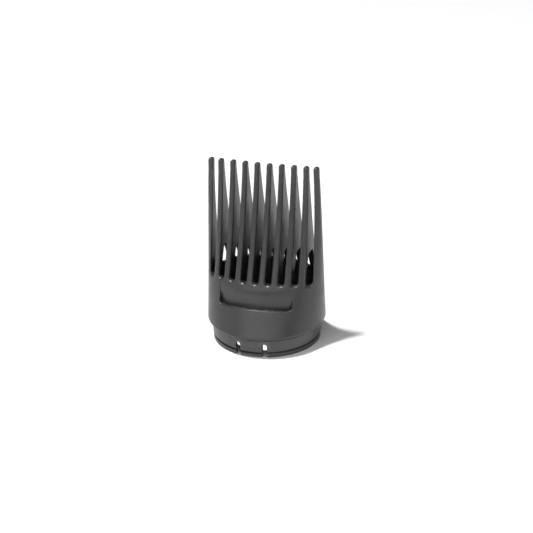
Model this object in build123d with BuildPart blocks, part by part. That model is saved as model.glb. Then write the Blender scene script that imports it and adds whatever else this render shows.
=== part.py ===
"""Comb nozzle for a hair dryer: ten tapered teeth on a flared duct, with a snap-in coupling collar.

Millimetres, +Z up. The origin is the middle of the collar's lower face, on the airflow axis.
The front, with the finger grip, faces -Y.
"""

from build123d import *
import math
import os

os.makedirs("parts", exist_ok=True)

# Outer form of the comb: round at the skirt, flattened to a row of tips
skirt_radius = 24.95
skirt_height = 9.15
tip_height = 78.1
tip_half_depth = 1.15
straight_taper = 11.9
flare = skirt_radius - tip_half_depth - straight_taper
flare_power = 2
side_swell = 0.4
side_draw = 1.8
flat_at_skirt = 0.1
flat_gain = 0.75
section_heights = [7.6, 11, 15, 20, 26, 34, 44, 56, 68, tip_height + 1]

# Coupling collar that enters the dryer's outlet
collar_radius = 23.0
collar_height = 7.6
seat_bottom = 5.3
lead_in_radius = 22.9
collar_bore = 21.2
spigot_radius = 22.1
spigot_top = 10.8
lip_radius = 22.7
lip_round = 0.4
groove_radius = 22.0
groove_bottom = 1.9
groove_top = 2.9

# Duct inside the comb
duct_half_width = 22.0
duct_draft = 0.2
duct_wall = 2.4
duct_ceiling = 30.6
ceiling_round = 0.8
crown_ceiling = 40.6
crown_half_depth_low = 7.4
crown_half_depth_high = 2.6
crown_round = 0.7

# Teeth and the gaps between them
tooth_count = 10
tooth_width_base = 2.95
tooth_width_tip = 2.15
pitch_base = 5.29
pitch_tip = 5.21
gap_bottom = 29.7
gap_dip = 1.1
gap_corner_share = 0.46
tooth_root = 31.6
edge_round = 0.9
tip_round = 1.12
tip_dome = 1.6
tip_bow = 0.32

# Finger grip on the front
grip_half_width = 15.7
grip_ledge = 20.2
grip_fade = 26.0
grip_lean = 24.6
grip_sag = 0.95
grip_corner = 2.0
grip_backing = 1.5

# Snap tabs, one at the front and one at the rear
slit_angle = 14.4
slit_width = 2.1
slit_top = 6.2
tab_gap = 0.12
tab_foot = 0.3
tab_groove_radius = 21.8
tab_groove_bottom = 1.6
tab_groove_top = 2.8

clearance = 5.0
half_teeth = tooth_count // 2


def rise(height):
    """Fraction of the way from the skirt to the tips."""
    return (height - skirt_height) / (tip_height - skirt_height)


def half_width(height):
    return skirt_radius + side_swell * rise(height) - side_draw * rise(height) ** 2


def half_depth(height):
    left = 1 - rise(height)
    return tip_half_depth + straight_taper * left + flare * left**flare_power


def side_flat(height):
    """Half length of the short straight side between the front and rear curves."""
    return flat_at_skirt + flat_gain * max(0, rise(height))


def outer_depth(x, height):
    """Distance of the comb's outer surface from the X axis."""
    flat = side_flat(height)
    across = abs(x) / half_width(height)
    return flat + (half_depth(height) - flat) * math.sqrt(1 - across**2)


def level_section(height, width, depth):
    """Two half ellipses joined by short straight sides."""
    flat = side_flat(height)
    with BuildSketch(Plane.XY.offset(height)) as section:
        with BuildLine():
            rear = EllipticalCenterArc((0, flat), width, depth - flat, start_angle=0, arc_size=180)
            front = EllipticalCenterArc((0, -flat), width, depth - flat, start_angle=180, arc_size=180)
            Line(rear @ 1, front @ 0)
            Line(front @ 1, rear @ 0)
        make_face()
    return section.sketch.face()


def comb_section(height):
    return level_section(height, half_width(height), half_depth(height))


def duct_section(height):
    width = duct_half_width - duct_draft * rise(height)
    depth = min(duct_half_width, half_depth(height) - duct_wall)
    return level_section(height, width, depth)


def tooth_width(height):
    return tooth_width_base + (tooth_width_tip - tooth_width_base) * rise(height)


def gap_floor(index):
    """Height of a gap's bottom: level in the middle of the row and lower towards its ends."""
    return gap_bottom - gap_dip * (index / (half_teeth - 1)) ** 3


def gap_faces(index, height):
    """Inner and outer x of a gap; gap 0 is the middle one, and the last one is outermost."""
    pitch = pitch_base + (pitch_tip - pitch_base) * rise(height)
    inner = (index - 0.5) * pitch + tooth_width(height) / 2
    outer = (index + 0.5) * pitch - tooth_width(height) / 2
    if index == half_teeth - 1:
        outer = half_width(height) - tooth_width(height)
    return inner, outer


def tip_centres():
    """Centre of every tip's rounding; the row dips slightly in the middle."""
    inner_teeth = [(index + 0.5) * pitch_tip for index in range(half_teeth - 1)]
    outer_tooth = half_width(tip_height) - tooth_width_tip / 2
    centres = []
    for x in inner_teeth + [outer_tooth]:
        top = tip_height - tip_bow * (1 - (x / outer_tooth) ** 2)
        centres += [(x, top - tip_round), (-x, top - tip_round)]
    return centres


def on_gap_rim(edge):
    """True where a gap breaks through the comb's outer surface."""
    middle = edge @ 0.5
    if not gap_floor(half_teeth - 1) - 0.5 < middle.Z < tip_height - 0.1:
        return False
    if abs(middle.X) > half_width(middle.Z) - 0.5:
        return False
    return abs(abs(middle.Y) - outer_depth(middle.X, middle.Z)) < 0.15


# Hollow of the comb, less the pocket wall that backs the finger grip
grip_end_depth = half_depth(grip_fade) * math.sqrt(1 - (grip_half_width / half_width(grip_fade)) ** 2)
grip_inset = half_depth(grip_ledge) - grip_end_depth
grip_foot = grip_ledge + grip_sag - grip_inset * math.tan(math.radians(grip_lean))
duct_heights = [height for height in section_heights if height < duct_ceiling] + [duct_ceiling]
duct_sections = [duct_section(height) for height in duct_heights]
with BuildPart() as duct:
    loft(duct_sections)
    fillet(duct.edges().group_by(Axis.Z)[-1], radius=ceiling_round)
    with BuildSketch(Plane.XY.offset(grip_foot - grip_backing)):
        with Locations((0, -skirt_radius)):
            Rectangle(2 * (grip_half_width + grip_backing), 2 * skirt_radius)
        Ellipse(
            half_width(grip_fade) - grip_backing,
            half_depth(grip_fade) - grip_backing,
            mode=Mode.SUBTRACT,
        )
    extrude(amount=grip_fade - grip_foot + 2 * grip_backing, mode=Mode.SUBTRACT)
    with BuildSketch(Plane.YZ) as crown_outline:
        Polygon(
            (-crown_half_depth_low, duct_ceiling - 2 * ceiling_round),
            (crown_half_depth_low, duct_ceiling - 2 * ceiling_round),
            (crown_half_depth_low, duct_ceiling),
            (crown_half_depth_high, crown_ceiling),
            (-crown_half_depth_high, crown_ceiling),
            (-crown_half_depth_low, duct_ceiling),
            align=None,
        )
        fillet(crown_outline.vertices().group_by(Axis.Y)[-1], radius=crown_round)
    extrude(amount=duct_half_width - duct_draft, both=True)

# Recess of the finger grip: its ledge is square to the leaning front, and it fades out upwards
grip_plane = Plane(
    origin=(0, -half_depth(grip_ledge), grip_ledge),
    x_dir=(1, 0, 0),
    z_dir=(0, -math.cos(math.radians(grip_lean)), math.sin(math.radians(grip_lean))),
)
with BuildPart() as grip:
    with BuildSketch(grip_plane) as grip_outline:
        with BuildLine():
            ledge_line = ThreePointArc((-grip_half_width, grip_sag), (0, 0), (grip_half_width, grip_sag))
            Polyline(
                ledge_line @ 1,
                (grip_half_width, 2 * (grip_fade - grip_ledge)),
                (-grip_half_width, 2 * (grip_fade - grip_ledge)),
                ledge_line @ 0,
            )
        make_face()
        fillet(grip_outline.vertices().group_by(Axis.Z)[0], radius=grip_corner)
    extrude(amount=half_depth(grip_ledge) / 2, both=True)
    with BuildSketch(Plane.XY):
        Ellipse(half_width(grip_fade), half_depth(grip_fade))
    extrude(amount=tip_height, mode=Mode.SUBTRACT)

# The whole comb, from which the shell and the teeth are parted
comb_sections = [comb_section(height) for height in section_heights]
with BuildPart() as comb:
    loft(comb_sections)
    split(bisect_by=Plane.XY.offset(tip_height), keep=Keep.BOTTOM)
    skirt_slope = (skirt_radius - collar_radius) / (skirt_height - collar_height)
    with BuildSketch(Plane.XZ):
        Polygon(
            (collar_radius, collar_height),
            (collar_radius + clearance * skirt_slope, collar_height + clearance),
            (skirt_radius + 2 * clearance, collar_height + clearance),
            (skirt_radius + 2 * clearance, collar_height),
            align=None,
        )
    revolve(axis=Axis.Z, mode=Mode.SUBTRACT)
    add(duct.part, mode=Mode.SUBTRACT)
    with Locations((0, 0, collar_height)):
        Cylinder(
            spigot_radius,
            spigot_top - collar_height,
            align=(Align.CENTER, Align.CENTER, Align.MIN),
            mode=Mode.SUBTRACT,
        )
    add(grip.part, mode=Mode.SUBTRACT)
    for index in range(half_teeth):
        floor = gap_floor(index)
        low_inner, low_outer = gap_faces(index, floor)
        high_inner, high_outer = gap_faces(index, tip_height + clearance)
        for side in (1, -1) if index else (1,):
            with BuildSketch(Plane.XZ) as gap:
                Polygon(
                    (side * low_inner, floor),
                    (side * low_outer, floor),
                    (side * high_outer, tip_height + clearance),
                    (side * high_inner, tip_height + clearance),
                    align=None,
                )
                fillet(
                    gap.vertices().group_by(Axis.Y)[0],
                    radius=gap_corner_share * (low_outer - low_inner),
                )
            extrude(amount=skirt_radius + clearance, both=True, mode=Mode.SUBTRACT)
    fillet(comb.edges().filter_by(on_gap_rim), radius=edge_round)
    with BuildSketch(Plane.XZ):
        with Locations((0, tip_height - tip_bow - tip_round)):
            Rectangle(3 * skirt_radius, clearance, align=(Align.CENTER, Align.MIN))
        for x, middle in tip_centres():
            with Locations((x, middle)):
                Rectangle(2 * tip_round, 2 * tip_bow, align=(Align.CENTER, Align.MAX), mode=Mode.SUBTRACT)
        with Locations(*tip_centres()):
            Circle(tip_round, mode=Mode.SUBTRACT)
    extrude(amount=clearance, both=True, mode=Mode.SUBTRACT)
    with BuildSketch(Plane.YZ):
        with Locations((0, tip_height - tip_dome)):
            Rectangle(4 * clearance, clearance, align=(Align.CENTER, Align.MIN))
            Circle(tip_dome, mode=Mode.SUBTRACT)
    extrude(amount=2 * skirt_radius, both=True, mode=Mode.SUBTRACT)

with BuildPart() as comb_shell:
    add(comb.part)
    split(bisect_by=Plane.XY.offset(tooth_root), keep=Keep.BOTTOM)
comb_shell.part.label = "comb_shell"
export_step(comb_shell.part, "parts/comb_shell.step")

with BuildPart() as teeth:
    add(comb.part)
    split(bisect_by=Plane.XY.offset(tooth_root), keep=Keep.TOP)

for number, solid in enumerate(teeth.solids().sort_by(Axis.X), start=1):
    with BuildPart() as tooth:
        add(solid)
    tooth.part.label = f"tooth_{number:02d}"
    export_step(tooth.part, f"parts/tooth_{number:02d}.step")

# Collar ring: a groove and a lip below, a spigot above that seats in the shell
slit_x = collar_radius * math.sin(math.radians(slit_angle))
slit_shoulder = slit_top - slit_width / 2
tab_half_width = slit_x - slit_width / 2
with BuildPart() as ring:
    with BuildSketch(Plane.XZ) as ring_profile:
        Polygon(
            (collar_bore, 0),
            (lip_radius, 0),
            (lip_radius, groove_bottom),
            (groove_radius, groove_bottom),
            (groove_radius, groove_top),
            (lead_in_radius, groove_top),
            (collar_radius, seat_bottom),
            (collar_radius, collar_height),
            (spigot_radius, collar_height),
            (spigot_radius, spigot_top),
            (collar_bore, spigot_top),
            align=None,
        )
        lip_corners = ring_profile.vertices().filter_by(lambda corner: corner.X == lip_radius)
        fillet(lip_corners, radius=lip_round)
    revolve(axis=Axis.Z)

with BuildPart() as coupling_collar:
    add(ring.part)
    with BuildSketch(Plane.XZ):
        Rectangle(2 * (slit_x + slit_width / 2), 2 * slit_shoulder)
        with Locations((slit_x, slit_shoulder), (-slit_x, slit_shoulder)):
            Circle(slit_width / 2)
    extrude(amount=2 * collar_radius, both=True, mode=Mode.SUBTRACT)
coupling_collar.part.label = "coupling_collar"
export_step(coupling_collar.part, "parts/coupling_collar.step")

# Snap tabs: the parts of the ring between two slits, with a deeper catch groove
with BuildPart() as tab_stock:
    with BuildSketch(Plane.XZ) as tab_profile:
        Polygon(
            (collar_bore, tab_foot),
            (lip_radius, tab_foot),
            (lip_radius, tab_groove_bottom),
            (tab_groove_radius, tab_groove_bottom),
            (tab_groove_radius, tab_groove_top),
            (lead_in_radius, tab_groove_top),
            (collar_radius - 0.01, slit_shoulder - tab_gap),
            (collar_bore, slit_shoulder - tab_gap),
            align=None,
        )
        tab_corners = tab_profile.vertices().filter_by(lambda corner: corner.X == lip_radius)
        fillet(tab_corners, radius=lip_round)
    revolve(axis=Axis.Z)

for name, side in (("snap_tab_front", -1), ("snap_tab_rear", 1)):
    with BuildPart() as snap_tab:
        add(tab_stock.part)
        with Locations((0, side * collar_radius, 0)):
            Box(2 * tab_half_width, collar_radius, 4 * collar_height, mode=Mode.INTERSECT)
    snap_tab.part.label = name
    export_step(snap_tab.part, f"parts/{name}.step")
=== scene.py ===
"""Comb nozzle on a white sweep, under a high key light and four softboxes.

The comb is one moulding, so its shell and teeth show as one seamless mesh, cut from a distance field.
The field is worked out in millimetres from the CAD's own outlines, with some edges rounded differently.
"""

import math

import bpy
import numpy as np
from mathutils import Matrix, Vector


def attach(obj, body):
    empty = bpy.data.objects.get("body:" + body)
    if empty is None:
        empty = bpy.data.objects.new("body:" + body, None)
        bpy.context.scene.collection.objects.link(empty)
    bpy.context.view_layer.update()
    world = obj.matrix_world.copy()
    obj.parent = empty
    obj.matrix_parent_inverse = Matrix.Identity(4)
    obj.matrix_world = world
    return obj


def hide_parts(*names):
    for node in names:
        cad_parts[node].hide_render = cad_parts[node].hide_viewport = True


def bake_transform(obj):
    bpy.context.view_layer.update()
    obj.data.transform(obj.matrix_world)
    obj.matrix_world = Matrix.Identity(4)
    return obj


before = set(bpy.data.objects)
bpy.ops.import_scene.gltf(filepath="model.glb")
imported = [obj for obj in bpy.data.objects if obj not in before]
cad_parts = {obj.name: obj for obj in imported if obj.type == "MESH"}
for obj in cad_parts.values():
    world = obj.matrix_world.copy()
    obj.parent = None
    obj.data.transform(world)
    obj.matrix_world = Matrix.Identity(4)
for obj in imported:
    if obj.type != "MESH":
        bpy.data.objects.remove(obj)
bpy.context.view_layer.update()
millimetre = 0.001

# Camera, in metres and degrees
focal_length_mm = 115.85
camera_place = Vector((0.2028, -0.6229, 0.3293))
camera_down_tilt = 24.46
camera_yaw = 18.01
camera_roll = -1.30

# Outer form of the comb
skirt_radius = 24.95
skirt_height = 9.15
tip_height = 78.1
tip_half_depth = 1.15
straight_taper = 11.9
flare = 11.9
side_swell = 0.4
side_draw = 1.8
flat_at_skirt = 0.1
flat_gain = 0.75
collar_radius = 23.0
collar_height = 7.6
skirt_edge_round = 0.5
foot_edge_round = 0.12

# Duct, throat and upper chamber
throat_radius = 22.1
throat_top = 10.8
duct_half_width = 22.0
duct_wall = 2.4
duct_ceiling = 30.6
duct_round = 0.8
crown_half_width = 21.8
crown_ceiling = 40.6
crown_half_depth_low = 7.4
crown_half_depth_high = 2.6
crown_round = 0.7
crown_overlap = 2.0
crown_fillet = 0.4
duct_edge_round = 0.3

# Teeth and gaps
half_teeth = 5
tooth_width_base = 2.95
tooth_width_tip = 2.15
pitch_base = 5.29
pitch_tip = 5.21
gap_bottom = 29.7
gap_dip = 1.1
gap_corner_share = 0.46
edge_round = 0.92
tip_round = 0.85
tip_bow = 0.32

# Finger grip
grip_half_width = 15.7
grip_ledge = 20.2
grip_fade = 26.0
grip_lean = 24.6
grip_sag = 0.95
grip_corner = 2.0
grip_foot = 18.3
grip_backing = 1.5
grip_backing_round = 0.5
grip_lip_height = 21.2
grip_lip_round = 0.35
grip_fade_round = 0.7

# Snap tabs: collar-like section between two slits
collar_bore = 21.2
seat_bottom = 5.3
lead_in_radius = 22.9
lip_radius = 22.7
lip_round = 0.4
slit_angle = 14.4
slit_width = 2.1
slit_shoulder = 5.15
tab_foot = 0.3
tab_groove_radius = 21.8
tab_groove_bottom = 1.6
tab_groove_top = 2.8
tab_columns = 25
tab_side_rows = 10
tab_bore_rows = 12
tab_sharp_angle = 35

# Spacing of the field's grid, and how far it reaches past the comb
grid_x = 0.4
grid_y = 0.44
grid_z_fine = 0.47
grid_z_coarse = 0.9
coarse_from = 43.0
coarse_to = 74.5
grid_margin = 1.0

# Moves that bring the grid's points on to the surface
moves_per_point = 4
longest_move = 0.3
least_squared_slope = 0.25

# Disc of painted glow on the floor inside the collar, seen white through the slits
glow_radius = 16.0
glow_height = 0.1
glow_sides = 48

# Studio: each light's direction from the comb, distance and size in metres, and watts
floor_half_size = 3.0
floor_grey = 0.9
world_strength = 0.05
light_aim = Vector((0, 0, 0.03))
lights = {
    "key": ((-0.211, -0.135, 1.0), 3.5, (0.23, 0.23), 120),
    "overhead_softbox": ((0.0, -0.5, 1.0), 1.2, (2.0, 0.3), 3.4),
    "front_softbox": ((0.05, -0.9, 0.5), 1.2, (2.0, 0.4), 6.5),
    "right_softbox": ((0.97, 0.26, 0.25), 1.2, (1.7, 0.42), 2.3),
    "left_softbox": ((-0.98, -0.17, 0.25), 1.2, (1.7, 0.42), 2.3),
}

# Moulded plastic: sizes and depths of its marks in metres, and shares
cloud_size = 0.014
speck_size = 0.0006
flow_size = 0.004
flow_stretch = 0.08
smear_size = 0.009
ripple_depth = 0.00003
grain_depth_share = 0.02
plastic_specular = 0.7
blue_tint = 1.03


def rise(z):
    """Fraction of the way from the skirt to the tips."""
    return (z - skirt_height) / (tip_height - skirt_height)


def half_width(z):
    return skirt_radius + side_swell * rise(z) - side_draw * rise(z) ** 2


def half_depth(z):
    left = 1 - rise(z)
    return tip_half_depth + straight_taper * left + flare * left**2


def tooth_width(z):
    return tooth_width_base + (tooth_width_tip - tooth_width_base) * rise(z)


def pitch(z):
    return pitch_base + (pitch_tip - pitch_base) * rise(z)


def section_ratio(x, y, z, width, depth):
    """1 on the rim of the level section with these half sizes, and less inside it.

    The other two values are the depth beyond the section's flat middle, and how far that depth reaches.
    """
    flat = flat_at_skirt + flat_gain * np.maximum(0, rise(z))
    beyond = np.maximum(np.abs(y) - flat, 0)
    reach = depth - flat
    return np.sqrt((x / width) ** 2 + (beyond / reach) ** 2), beyond, reach


def section_distance(x, y, z, width, depth):
    """Signed distance from a flared wall, negative inside it. width and depth are functions of z."""
    step = 0.05
    ratio, beyond, reach = section_ratio(x, y, z, width(z), depth(z))
    above = section_ratio(x, y, z + step, width(z + step), depth(z + step))[0]
    level_slope = np.sqrt((x / width(z) ** 2) ** 2 + (beyond / reach**2) ** 2) / np.maximum(ratio, 1e-3)
    level_slope = np.maximum(level_slope, 1 / width(z))
    return (ratio - 1) / np.hypot(level_slope, (above - ratio) / step)


def cut(solid, hollow, radius):
    """The solid less the hollow, with its edges rounded."""
    both = np.hypot(np.maximum(solid + radius, 0), np.maximum(radius - hollow, 0))
    return np.minimum(-radius, np.maximum(solid, -hollow)) + both


def common(first, second, radius):
    """What two solids share, with its edges rounded."""
    return cut(first, -second, radius)


def joined(first, second, radius):
    """Two solids together, with the corner between them filleted."""
    both = np.hypot(np.maximum(radius - first, 0), np.maximum(radius - second, 0))
    return np.maximum(radius, np.minimum(first, second)) - both


def rounded_notch(across, up, half, floor, corner):
    """Distance from a notch that is open upwards and has round bottom corners."""
    side = np.abs(across) - half + corner
    below = floor + corner - up
    outside = np.hypot(np.maximum(side, 0), np.maximum(below, 0))
    return outside + np.minimum(np.maximum(side, below), 0) - corner


def gap_distance(x, z):
    """Distance from the nearest of the gaps between the teeth."""
    nearest = np.full(np.broadcast(x, z).shape, np.inf)
    for index in range(half_teeth):
        inner = (index - 0.5) * pitch(z) + tooth_width(z) / 2
        outer = (index + 0.5) * pitch(z) - tooth_width(z) / 2
        if index == half_teeth - 1:
            outer = half_width(z) - tooth_width(z)
        floor = gap_bottom - gap_dip * (index / (half_teeth - 1)) ** 3
        half = (outer - inner) / 2
        middle = (outer + inner) / 2
        for side in (1, -1) if index else (1,):
            notch = rounded_notch(x - side * middle, z, half, floor, 2 * gap_corner_share * half)
            nearest = np.minimum(nearest, notch)
    return nearest


def ellipse_distance(x, y, width, depth):
    """Signed distance from an elliptic column with these half sizes, nearly true close to its wall."""
    ratio = np.hypot(x / width, y / depth)
    slope = np.hypot(x / width**2, y / depth**2) / np.maximum(ratio, 1e-3)
    return (ratio - 1) / np.maximum(slope, 1 / skirt_radius)


def grip_distance(x, y, z):
    """Distance from the grip's recess, whose ledge is square to the leaning front."""
    lean = math.radians(grip_lean)
    up = (z - grip_ledge) * math.cos(lean) + (y + half_depth(grip_ledge)) * math.sin(lean)
    sag = grip_sag * (x / grip_half_width) ** 2
    outline = rounded_notch(x, up - sag, grip_half_width, 0, grip_corner)
    floor = ellipse_distance(x, y, half_width(grip_fade), half_depth(grip_fade))
    return np.maximum(np.maximum(outline, -floor), y)


def duct_distance(x, y, z):
    """Distance from the hollow: flared duct, throat and the chamber between the teeth."""

    def duct_half_depth(z):
        return np.minimum(duct_half_width, half_depth(z) - duct_wall)

    duct = section_distance(x, y, z, lambda z: duct_half_width, duct_half_depth)
    duct = common(duct, z - duct_ceiling, duct_round)
    climb = (z - duct_ceiling) / (crown_ceiling - duct_ceiling)
    crown_depth = crown_half_depth_low + (crown_half_depth_high - crown_half_depth_low) * np.maximum(climb, 0)
    crown = common(np.abs(y) - crown_depth, z - crown_ceiling, crown_round)
    crown = np.maximum(np.maximum(crown, np.abs(x) - crown_half_width), duct_ceiling - crown_overlap - z)
    hollow = joined(duct, crown, crown_fillet)
    backed_half_width = half_width(grip_fade) - grip_backing
    backed_half_depth = half_depth(grip_fade) - grip_backing
    backed = ellipse_distance(x, y, backed_half_width, backed_half_depth)
    backing = np.maximum(np.maximum(np.abs(x) - grip_half_width - grip_backing, y), -backed)
    backing = np.maximum(backing, np.maximum(grip_foot - grip_backing - z, z - grip_fade - grip_backing))
    hollow = cut(hollow, backing, grip_backing_round)
    throat = np.maximum(np.hypot(x, y) - throat_radius, z - throat_top)
    return np.minimum(hollow, throat)


def comb_distance(x, y, z):
    """Signed distance from the whole comb moulding."""
    skin = section_distance(x, y, z, half_width, half_depth)
    slope = (skirt_radius - collar_radius) / (skirt_height - collar_height)
    cone = (np.hypot(x, y) - collar_radius - (z - collar_height) * slope) / math.hypot(1, slope)
    solid = common(skin, cone, skirt_edge_round)
    solid = common(solid, collar_height - z, foot_edge_round)
    solid = cut(solid, gap_distance(x, z), edge_round)
    top = tip_height - tip_bow * (1 - (x / half_width(tip_height)) ** 2)
    solid = common(solid, z - top, tip_round)
    solid = cut(solid, duct_distance(x, y, z), duct_edge_round)
    lip = np.interp(z, [grip_lip_height, grip_fade], [grip_lip_round, grip_fade_round])
    return cut(solid, grip_distance(x, y, z), lip)


def field_gradient(points):
    """The field at the points and its gradient."""
    step = 0.02
    here = comb_distance(*points.T)
    slopes = []
    for axis in range(3):
        shift = np.zeros(3)
        shift[axis] = step
        slopes.append((comb_distance(*(points + shift).T) - comb_distance(*(points - shift).T)) / (2 * step))
    return here, np.stack(slopes, 1)


def onto_surface(points):
    """The points after a few moves along the gradient, which bring them to where the field is 0."""
    for _ in range(moves_per_point):
        here, slope = field_gradient(points)
        stride = here / np.maximum((slope**2).sum(1), least_squared_slope)
        points = points - np.clip(stride, -longest_move, longest_move)[:, None] * slope
    return points


def cell_slices(axis):
    """For each of the four cells round a grid edge along an axis: which edges have it, and where it is."""
    others = [a for a in range(3) if a != axis]
    for first in (0, 1):
        for second in (0, 1):
            edge = [slice(None)] * 3
            cell = [slice(None)] * 3
            for other, offset in zip(others, (first, second)):
                edge[other] = slice(1, None) if offset else slice(None, -1)
            yield tuple(edge), tuple(cell)


def edge_crossings(field, lines, axis):
    """Which grid edges along an axis cross the surface, which edges start inside it, and where they cross."""
    low = [slice(None)] * 3
    high = [slice(None)] * 3
    low[axis] = slice(None, -1)
    high[axis] = slice(1, None)
    start, stop = field[tuple(low)], field[tuple(high)]
    crosses = (start < 0) != (stop < 0)
    share = np.where(crosses, start / np.where(crosses, start - stop, 1), 0)
    place = np.empty((*crosses.shape, 3))
    for other in range(3):
        along = [None] * 3
        along[other] = slice(None)
        if other == axis:
            steps = np.diff(lines[axis])[tuple(along)]
            place[..., axis] = lines[axis][:-1][tuple(along)] + share * steps
        else:
            place[..., other] = lines[other][tuple(along)]
    return crosses, start < 0, place


def edge_quads(crosses, inside, number, axis):
    """A quad between the points of the four cells round each crossing edge, facing outwards."""
    others = [a for a in range(3) if a != axis]
    middle = [slice(None)] * 3
    for other in others:
        middle[other] = slice(1, -1)
    middle = tuple(middle)
    where = np.argwhere(crosses[middle])
    starts_inside = inside[middle][crosses[middle]]
    corners = []
    for first, second in ((0, 0), (1, 0), (1, 1), (0, 1)):
        cell = where.copy()
        cell[:, others[0]] += first
        cell[:, others[1]] += second
        corners.append(number[tuple(cell.T)])
    quads = np.stack(corners, 1)
    backward = starts_inside if axis == 1 else ~starts_inside
    quads[backward] = quads[backward][:, ::-1]
    return quads


def net(field, lines):
    """Points and quads of the surface where the field changes sign: one point in each cell it crosses."""
    cells = np.array(field.shape) - 1
    total = np.zeros((*cells, 3))
    count = np.zeros(cells)
    crossings = []
    for axis in range(3):
        crosses, inside, place = edge_crossings(field, lines, axis)
        for edge, cell in cell_slices(axis):
            total[cell] += np.where(crosses[edge][..., None], place[edge], 0)
            count[cell] += crosses[edge]
        crossings.append((crosses, inside))
    used = count > 0
    number = np.full(used.shape, -1)
    number[used] = np.arange(used.sum())
    points = total[used] / count[used][:, None]
    quads = [edge_quads(*crossing, number, axis) for axis, crossing in enumerate(crossings)]
    return points, np.concatenate(quads)


def grid_lines():
    """The grid's places along x, y and z, evenly on both sides of the middle planes."""
    reach = skirt_radius + grid_margin
    low_z = np.arange(collar_height - grid_margin, coarse_from, grid_z_fine)
    middle_z = np.arange(coarse_from, coarse_to, grid_z_coarse)
    high_z = np.arange(coarse_to, tip_height + grid_margin, grid_z_fine)
    across = np.arange(0.5, reach / grid_x) * grid_x
    deep = np.arange(0.5, reach / grid_y) * grid_y
    return (
        np.concatenate((-across[::-1], across)),
        np.concatenate((-deep[::-1], deep)),
        np.concatenate((low_z, middle_z, high_z)),
    )


def mesh_object(name, points, faces, normals=None):
    mesh = bpy.data.meshes.new(name)
    mesh.from_pydata((points * millimetre).tolist(), [], [tuple(face) for face in faces])
    mesh.shade_smooth()
    if normals is not None:
        mesh.normals_split_custom_set_from_vertices(normals.tolist())
    piece = bpy.data.objects.new(name, mesh)
    bpy.context.scene.collection.objects.link(piece)
    return piece


def make_comb():
    """The comb moulding, from the sign changes of its distance field."""
    lines = grid_lines()
    field = comb_distance(*np.meshgrid(*lines, indexing="ij", sparse=True))
    points, quads = net(field, lines)
    points = onto_surface(points)
    slope = field_gradient(points)[1]
    normals = slope / np.linalg.norm(slope, axis=1)[:, None]
    return mesh_object("comb_moulding", points, quads, normals)


def tab_section():
    """Outline of a snap tab's section, as radii and heights, anticlockwise from the lower end of its lip."""
    low = []
    for angle in (0, 22.5, 45, 67.5, 90):
        turn = math.radians(angle)
        radius = lip_radius - lip_round + lip_round * math.sin(turn)
        low.append((radius, tab_foot + lip_round * (1 - math.cos(turn))))
    high = [(r, tab_foot + tab_groove_bottom - z) for r, z in reversed(low)]
    flank = (slit_shoulder - tab_groove_top) / (seat_bottom - tab_groove_top)
    top_radius = lead_in_radius + (collar_radius - lead_in_radius) * flank
    side_radii = np.linspace(lead_in_radius, top_radius, tab_side_rows)
    side = list(zip(side_radii, np.linspace(tab_groove_top, slit_shoulder, tab_side_rows)))
    bore = [(collar_bore, z) for z in np.linspace(slit_shoulder, tab_foot, tab_bore_rows)]
    groove = [(tab_groove_radius, tab_groove_bottom), (tab_groove_radius, tab_groove_top)]
    return low + high + groove + side + bore


def make_tab(name, side):
    """A snap tab, swept along its arc between the two slits. side is -1 at the front and 1 at the rear."""
    section = tab_section()
    half = collar_radius * math.sin(math.radians(slit_angle)) - slit_width / 2
    across = np.linspace(-half, half, tab_columns)
    points = np.array([(x, side * math.sqrt(r**2 - x**2), z) for x in across for r, z in section])
    count = len(section)
    faces = []
    for column in range(len(across) - 1):
        for row in range(count):
            below = column * count + row
            beside = column * count + (row + 1) % count
            faces.append((below, beside, beside + count, below + count)[::side])
    last = (len(across) - 1) * count
    faces.append(tuple(range(count))[::-side])
    faces.append(tuple(range(last, last + count))[::side])
    tab = mesh_object(name, points, faces)
    tab.data.set_sharp_from_angle(angle=math.radians(tab_sharp_angle))
    return tab


def camera_rotation():
    """Columns are the camera's right, up and backward directions."""
    tilt = math.radians(camera_down_tilt)
    yaw = math.radians(camera_yaw)
    roll = math.radians(camera_roll)
    level = Matrix(((1, 0, 0), (0, -math.sin(tilt), -math.cos(tilt)), (0, math.cos(tilt), -math.sin(tilt))))
    turn = Matrix(((math.cos(yaw), math.sin(yaw), 0), (-math.sin(yaw), math.cos(yaw), 0), (0, 0, 1)))
    lean = Matrix(((math.cos(roll), -math.sin(roll), 0), (math.sin(roll), math.cos(roll), 0), (0, 0, 1)))
    right, down, forward = lean @ level @ turn
    return Matrix((right, -down, -forward)).transposed()


def make_camera():
    data = bpy.data.cameras.new("camera")
    data.lens = focal_length_mm
    data.sensor_width = 36
    data.clip_end = 20
    camera = bpy.data.objects.new("camera", data)
    camera.matrix_world = Matrix.Translation(camera_place) @ camera_rotation().to_4x4()
    bpy.context.scene.collection.objects.link(camera)
    bpy.context.scene.camera = camera


def area_light(name, direction, distance, size, watts):
    """A rectangular light that faces the comb from a direction."""
    data = bpy.data.lights.new(name, "AREA")
    data.shape = "RECTANGLE"
    data.size, data.size_y = size
    data.energy = watts
    light = bpy.data.objects.new(name, data)
    light.location = light_aim + Vector(direction).normalized() * distance
    light.rotation_euler = Vector(direction).to_track_quat("Z", "Y").to_euler()
    bpy.context.scene.collection.objects.link(light)


def stage_material(name, grey):
    """A plain material for the stage, and its shader."""
    material = bpy.data.materials.new(name)
    material.use_nodes = True
    shader = material.node_tree.nodes["Principled BSDF"]
    shader.inputs["Base Color"].default_value = (grey, grey, grey, 1)
    return material, shader


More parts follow.
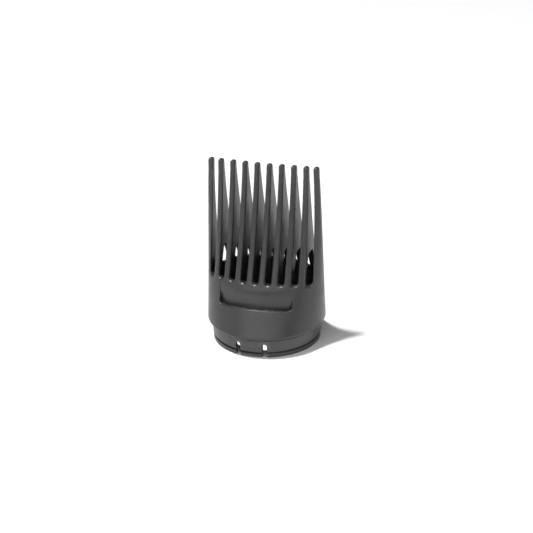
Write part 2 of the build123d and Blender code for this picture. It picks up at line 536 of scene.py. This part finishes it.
def make_painted_glow():
    """A disc of painted glow on the floor inside the collar: it shows white through the slits where the floor
    lies in shade, and it is hidden from diffuse and glossy rays, so it lights nothing.
    """
    radius = glow_radius * millimetre
    height = glow_height * millimetre
    turns = np.linspace(0, 2 * math.pi, glow_sides, endpoint=False)
    rim = [(radius * math.cos(turn), radius * math.sin(turn), height) for turn in turns]
    mesh = bpy.data.meshes.new("painted_glow_disc")
    mesh.from_pydata(rim, [], [tuple(range(len(rim)))])
    glow = bpy.data.objects.new("painted_glow_disc", mesh)
    glow.visible_diffuse = False
    glow.visible_glossy = False
    bpy.context.scene.collection.objects.link(glow)
    material, shader = stage_material("painted_glow_disc", floor_grey)
    shader.inputs["Emission Color"].default_value = (1, 1, 1, 1)
    shader.inputs["Emission Strength"].default_value = 1.0
    mesh.materials.append(material)


def make_world():
    world = bpy.data.worlds.new("studio")
    bpy.context.scene.world = world
    world.use_nodes = True
    background = world.node_tree.nodes["Background"]
    background.inputs["Color"].default_value = (1, 1, 1, 1)
    background.inputs["Strength"].default_value = world_strength


def make_floor():
    mesh = bpy.data.meshes.new("floor")
    half = floor_half_size
    corners = [(-half, -half, 0), (half, -half, 0), (half, half, 0), (-half, half, 0)]
    mesh.from_pydata(corners, [], [(0, 1, 2, 3)])
    floor = bpy.data.objects.new("floor", mesh)
    bpy.context.scene.collection.objects.link(floor)
    material, shader = stage_material("floor", floor_grey)
    shader.inputs["Roughness"].default_value = 0.9
    mesh.materials.append(material)


class Shader:
    """Nodes of a moulded plastic, built up one at a time."""

    def __init__(self, name):
        self.material = bpy.data.materials.new(name)
        self.material.use_nodes = True
        self.nodes = self.material.node_tree.nodes
        self.surface = self.nodes["Principled BSDF"]
        self.place = self.nodes.new("ShaderNodeTexCoord").outputs["Object"]

    def link(self, source, target):
        self.material.node_tree.links.new(source, target)

    def stretched(self, factors):
        """Object coordinates stretched along each axis."""
        mapping = self.nodes.new("ShaderNodeMapping")
        mapping.inputs["Scale"].default_value = factors
        self.link(self.place, mapping.inputs["Vector"])
        return mapping.outputs["Vector"]

    def noise(self, size, detail, place=None):
        """Noise whose features are about this many metres across."""
        noise = self.nodes.new("ShaderNodeTexNoise")
        noise.inputs["Scale"].default_value = 1 / size
        noise.inputs["Detail"].default_value = detail
        self.link(place or self.place, noise.inputs["Vector"])
        return noise.outputs["Fac"]

    def ranged(self, value, start, stop, low, high, clamp=True):
        """The value's range start to stop, carried over to low to high."""
        ranged = self.nodes.new("ShaderNodeMapRange")
        ranged.clamp = clamp
        for socket, number in zip(("From Min", "From Max", "To Min", "To Max"), (start, stop, low, high)):
            ranged.inputs[socket].default_value = number
        self.link(value, ranged.inputs["Value"])
        return ranged.outputs["Result"]

    def combined(self, operation, first, second):
        combined = self.nodes.new("ShaderNodeMath")
        combined.operation = operation
        self.link(first, combined.inputs[0])
        self.link(second, combined.inputs[1])
        return combined.outputs["Value"]

    def bump(self, height, depth, under=None):
        bump = self.nodes.new("ShaderNodeBump")
        bump.inputs["Distance"].default_value = depth
        self.link(height, bump.inputs["Height"])
        if under:
            self.link(under, bump.inputs["Normal"])
        return bump.outputs["Normal"]


def pigment(shader, grey):
    """Cloudy, speckled pigment that is paler on convex edges, partly from rubbed wear and partly as a painted
    highlight along the rims.
    """
    clouds = shader.ranged(shader.noise(cloud_size, 4), 0.3, 0.7, 0.8, 1.2)
    specks = shader.ranged(shader.noise(speck_size, 2), 0.35, 0.65, 0.85, 1.15)
    edges = shader.nodes.new("ShaderNodeNewGeometry").outputs["Pointiness"]
    # paler convex edges: partly rubbed wear, partly a painted highlight along the rims of the gaps and teeth
    rubbed_and_highlit = shader.ranged(edges, 0.53, 0.62, 1.0, 1.8)
    shade = shader.combined("MULTIPLY", shader.combined("MULTIPLY", clouds, specks), rubbed_and_highlit)
    colour = shader.nodes.new("ShaderNodeCombineColor")
    for channel, tint in zip(("Red", "Green", "Blue"), (1.0, 1.0, blue_tint)):
        shader.link(shader.ranged(shade, 0, 1, 0, grey * tint, clamp=False), colour.inputs[channel])
    return colour.outputs["Color"]


def moulded_plastic(name, grey, roughness, grain):
    """Near-black moulded plastic with flow marks along the teeth, smears and a grain of this size."""
    shader = Shader(name)
    shader.surface.inputs["Specular IOR Level"].default_value = plastic_specular
    shader.link(pigment(shader, grey), shader.surface.inputs["Base Color"])

    flow = shader.noise(flow_size, 3, shader.stretched((1, 1, flow_stretch)))
    smears = shader.noise(smear_size, 5)
    streaks = shader.ranged(flow, 0.3, 0.7, -0.03, 0.03)
    patches = shader.ranged(smears, 0.3, 0.7, -0.05, 0.05)
    gloss = shader.combined("ADD", streaks, patches)
    gloss = shader.ranged(gloss, -0.1, 0.1, roughness - 0.1, roughness + 0.1)
    shader.link(gloss, shader.surface.inputs["Roughness"])

    ripple = shader.bump(flow, ripple_depth)
    texture = shader.bump(shader.noise(grain, 3), grain * grain_depth_share, ripple)
    shader.link(texture, shader.surface.inputs["Normal"])
    return shader.material


def show_comb(material):
    comb = make_comb()
    comb.data.materials.append(material)
    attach(comb, "comb")
    moulded = [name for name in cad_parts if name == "comb_shell" or name.startswith("tooth_")]
    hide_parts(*moulded)


def show_tab(end, side, material):
    """A snap tab, built from its section in place of the CAD's own tab."""
    tab = make_tab(f"{end}_snap_tab", side)
    tab.data.materials.append(material)
    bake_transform(tab)
    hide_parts(f"snap_tab_{end}")


make_camera()
make_world()
make_floor()
for name, (direction, distance, size, watts) in lights.items():
    area_light(name, direction, distance, size, watts)
# painted glow on the floor inside the collar, which lights nothing
make_painted_glow()

comb_plastic = moulded_plastic("comb_plastic", grey=0.02, roughness=0.39, grain=0.0005)
collar_plastic = moulded_plastic("collar_plastic", grey=0.03, roughness=0.42, grain=0.00035)
show_comb(comb_plastic)
show_tab("front", -1, collar_plastic)
show_tab("rear", 1, collar_plastic)
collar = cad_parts["coupling_collar"]
collar.data.materials.clear()
collar.data.materials.append(collar_plastic)
bpy.context.scene.view_settings.view_transform = "Standard"
